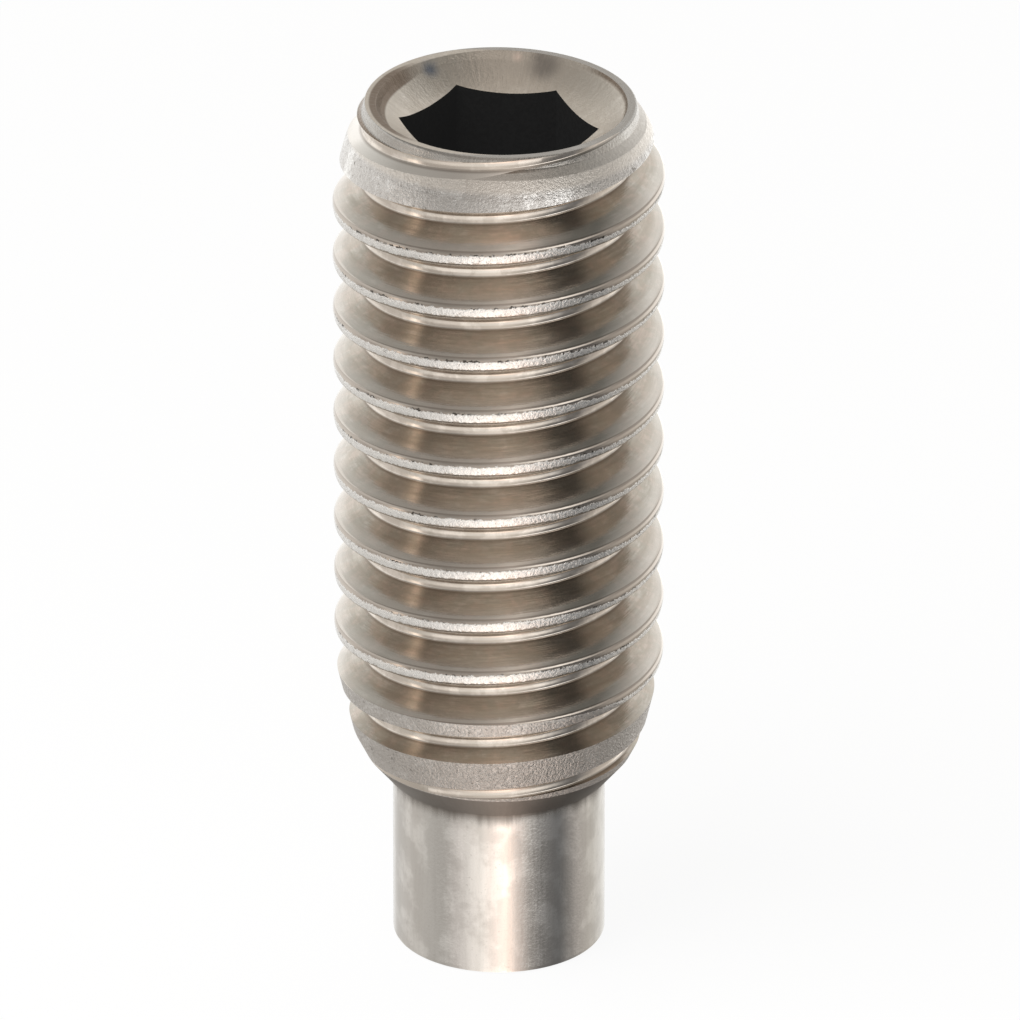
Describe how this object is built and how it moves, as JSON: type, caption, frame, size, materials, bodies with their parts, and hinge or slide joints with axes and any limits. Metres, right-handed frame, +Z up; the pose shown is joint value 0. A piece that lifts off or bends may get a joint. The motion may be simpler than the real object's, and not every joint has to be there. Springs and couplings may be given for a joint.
{
  "type": "grub set screw",
  "caption": "Headless, fully threaded grub screw with a countersunk hexagon socket in its top and a long plain dog point, standing on the point.",
  "frame": {"origin": "centre of the dog point's flat end face, on the screw's axis, so the screw stands on its point", "axes": "+Z up the screw's axis, from the dog point to the socket; -Y is the side seen from the front and +X is to its right"},
  "size_m": [0.0058, 0.0058, 0.0159],
  "materials": {
    "stainless_steel": "rolled and turned stainless steel, satin, with a warm tint in the thread grooves, bright grainy crests and a black socket"
  },
  "bodies": {
    "root": {"set_screw": "stainless_steel"}
  },
  "joints": []
}
